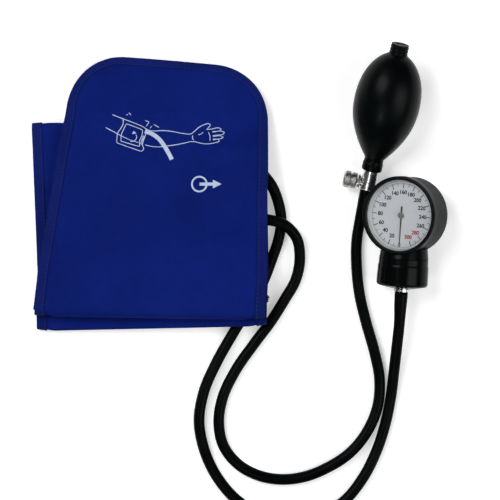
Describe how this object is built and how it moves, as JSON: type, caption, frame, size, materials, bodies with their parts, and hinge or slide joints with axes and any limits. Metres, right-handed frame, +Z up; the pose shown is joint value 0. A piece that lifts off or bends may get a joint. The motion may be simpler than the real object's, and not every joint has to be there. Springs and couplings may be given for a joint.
{
  "type": "aneroid sphygmomanometer",
  "caption": "Aneroid blood pressure monitor: a folded arm cuff, with one hose to a round dial gauge and one to a squeeze bulb with a release valve.",
  "frame": {"origin": "on the underside of the folded cuff, near its middle, at the level of the table that the set lies on", "axes": "+X from the cuff towards the gauge and bulb, +Y along the cuff's folded length towards its free end, +Z up"},
  "size_m": [0.2635, 0.3062, 0.0438],
  "materials": {
    "cuff_cloth": "plain nylon weave, slight sheen",
    "tape_cloth": "ribbed binding tape",
    "hook_cloth": "hook pile",
    "loop_cloth": "loop pile",
    "bladder_rubber": "matte",
    "hose_rubber": "matte, smooth",
    "bulb_rubber": "matte, fine grain",
    "seal_rubber": "matte",
    "port_plastic": "moulded",
    "ring_wire": "bright plated wire",
    "chrome_plate": "bright plate",
    "nickel": "satin nickel plate",
    "steel": "turned",
    "brass": "turned and stamped",
    "spring_bronze": "rolled spring strip",
    "case_paint": "satin dark paint",
    "bezel_black": "satin black",
    "cup_gloss": "gloss black lacquer",
    "lens_glass": "clear",
    "dial_grey": "satin light grey",
    "dial_white": "silvery white, printed scale",
    "pointer_black": "matte black"
  },
  "bodies": {
    "base": {"cuff_outer_ply": "cuff_cloth", "cuff_inner_ply": "cuff_cloth", "edge_tape": "tape_cloth", "bladder": "bladder_rubber", "bladder_ports": "port_plastic", "hook_patch": "hook_cloth", "loop_patch": "loop_cloth", "ring_loop": "cuff_cloth", "gauge_hose": "hose_rubber", "bulb_hose": "hose_rubber", "bulb_shell": "bulb_rubber", "intake_body": "port_plastic", "intake_screen": "steel", "check_cages": "brass", "outlet_seat": "brass", "valve_body": "chrome_plate", "gauge_case": "case_paint", "bezel": "bezel_black", "lens": "lens_glass", "lens_gasket": "seal_rubber", "dial_ring": "dial_grey", "dial_plate": "dial_white", "front_plate": "brass", "rear_plate": "brass", "plate_pillars": "steel", "pillar_screws": "steel", "movement_screws": "steel", "hairspring": "spring_bronze", "hairspring_stud": "brass", "capsule_housing": "cup_gloss", "neck_nut": "steel", "housing_seal": "seal_rubber", "base_cup": "cup_gloss", "capsule_lower": "spring_bronze", "capsule_upper": "spring_bronze", "nipple_nut": "steel", "gauge_nipple": "chrome_plate"},
    "sector": {"sector_gear": "brass", "sector_staff": "steel"},
    "pointer": {"pointer": "pointer_black", "pointer_hub": "steel", "pinion_staff": "brass", "hairspring_collet": "brass"},
    "push_rod": {"push_rod": "steel", "capsule_boss": "steel"},
    "valve_seal": {"valve_seal": "seal_rubber"},
    "valve_knob": {"valve_spindle": "steel", "valve_knob": "nickel"},
    "intake_ball": {"intake_ball": "steel"},
    "outlet_ball": {"outlet_ball": "steel"},
    "closure_ring": {"closure_ring": "ring_wire"}
  },
  "joints": [
    {"name": "sector_swing", "type": "hinge", "parent": "base", "child": "sector", "pos_m": [0.15816, -0.00514, 0.01654], "axis": [-0.4221, -0.0234, 0.9062], "range_deg": [0, 30], "stiffness_Nm_per_rad": 0.001, "springref_deg": -11.46},
    {"name": "pointer_turn", "type": "hinge", "parent": "base", "child": "pointer", "pos_m": [0.16241, 0.00613, 0.01881], "axis": [0.4221, 0.0234, -0.9062], "range_deg": [0, 337.5]},
    {"name": "push_rod_slide", "type": "slide", "parent": "base", "child": "push_rod", "axis": [0.0696, 0.9959, 0.0582], "range_m": [0, 0.00197]},
    {"name": "valve_slide", "type": "slide", "parent": "base", "child": "valve_seal", "axis": [-0.9755, 0.2198, 0], "range_m": [0, 0.0015]},
    {"name": "valve_turn", "type": "hinge", "parent": "valve_seal", "child": "valve_knob", "pos_m": [0.13833, 0.02617, 0.00833], "axis": [-0.9755, 0.2198, 0], "range_deg": [0, 540]},
    {"name": "intake_ball_slide", "type": "slide", "parent": "base", "child": "intake_ball", "axis": [0.2128, 0.9445, 0.2504], "range_m": [0, 0.0008]},
    {"name": "outlet_ball_slide", "type": "slide", "parent": "base", "child": "outlet_ball", "axis": [0.2128, 0.9445, 0.2504], "range_m": [0, 0.0008]},
    {"name": "closure_ring_swing", "type": "hinge", "parent": "base", "child": "closure_ring", "pos_m": [0.00114, -0.0502, 0.00595], "axis": [0.9981, 0.0218, 0.0584], "range_deg": [0, 25]}
  ],
  "couplings": [
    {"joint": "pointer_turn", "follows": "sector_swing", "ratio": 11.25},
    {"joint": "push_rod_slide", "follows": "sector_swing", "m_per_rad": 0.0037567},
    {"joint": "valve_slide", "follows": "valve_turn", "m_per_rad": 0.00015915}
  ]
}
